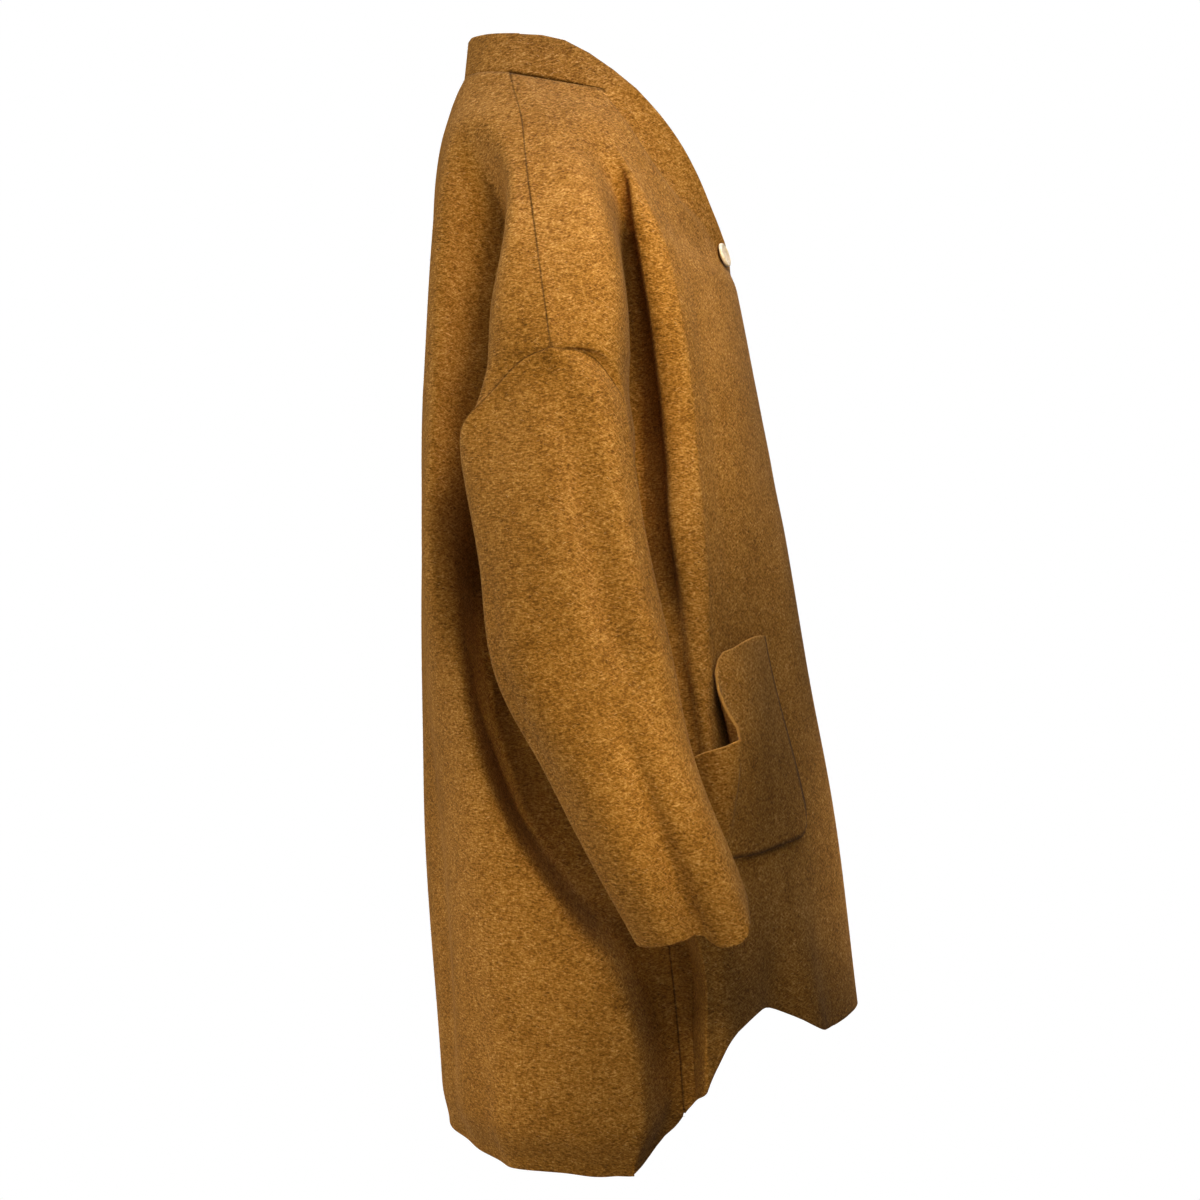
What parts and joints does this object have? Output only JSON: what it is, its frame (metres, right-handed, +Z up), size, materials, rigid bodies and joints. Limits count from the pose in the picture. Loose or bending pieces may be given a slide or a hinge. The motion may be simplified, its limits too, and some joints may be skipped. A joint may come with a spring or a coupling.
{
  "type": "oversized coat",
  "caption": "Oversized brown wool coat, hollow as if worn: flared body, longer back hem, stand collar grown on the fronts, dropped shoulders, narrow sleeves, patch pockets and a neck button.",
  "frame": {"origin": "on the centre plane, level with the neck points of the shoulder seams, where the wearer's shoulders carry the coat", "axes": "+Z up along the hanging cloth, the front faces -Y, the wearer's left is +X"},
  "size_m": [0.6366, 0.3997, 0.9842],
  "materials": {
    "wool": "felted wool with a short heathered nap, golden brown",
    "button_cream": "smooth cream"
  },
  "bodies": {
    "root": {"back": "wool", "front_right": "wool", "front_left": "wool", "sleeve_right": "wool", "sleeve_left": "wool", "pocket_right": "wool", "pocket_left": "wool", "button": "button_cream"}
  },
  "joints": []
}
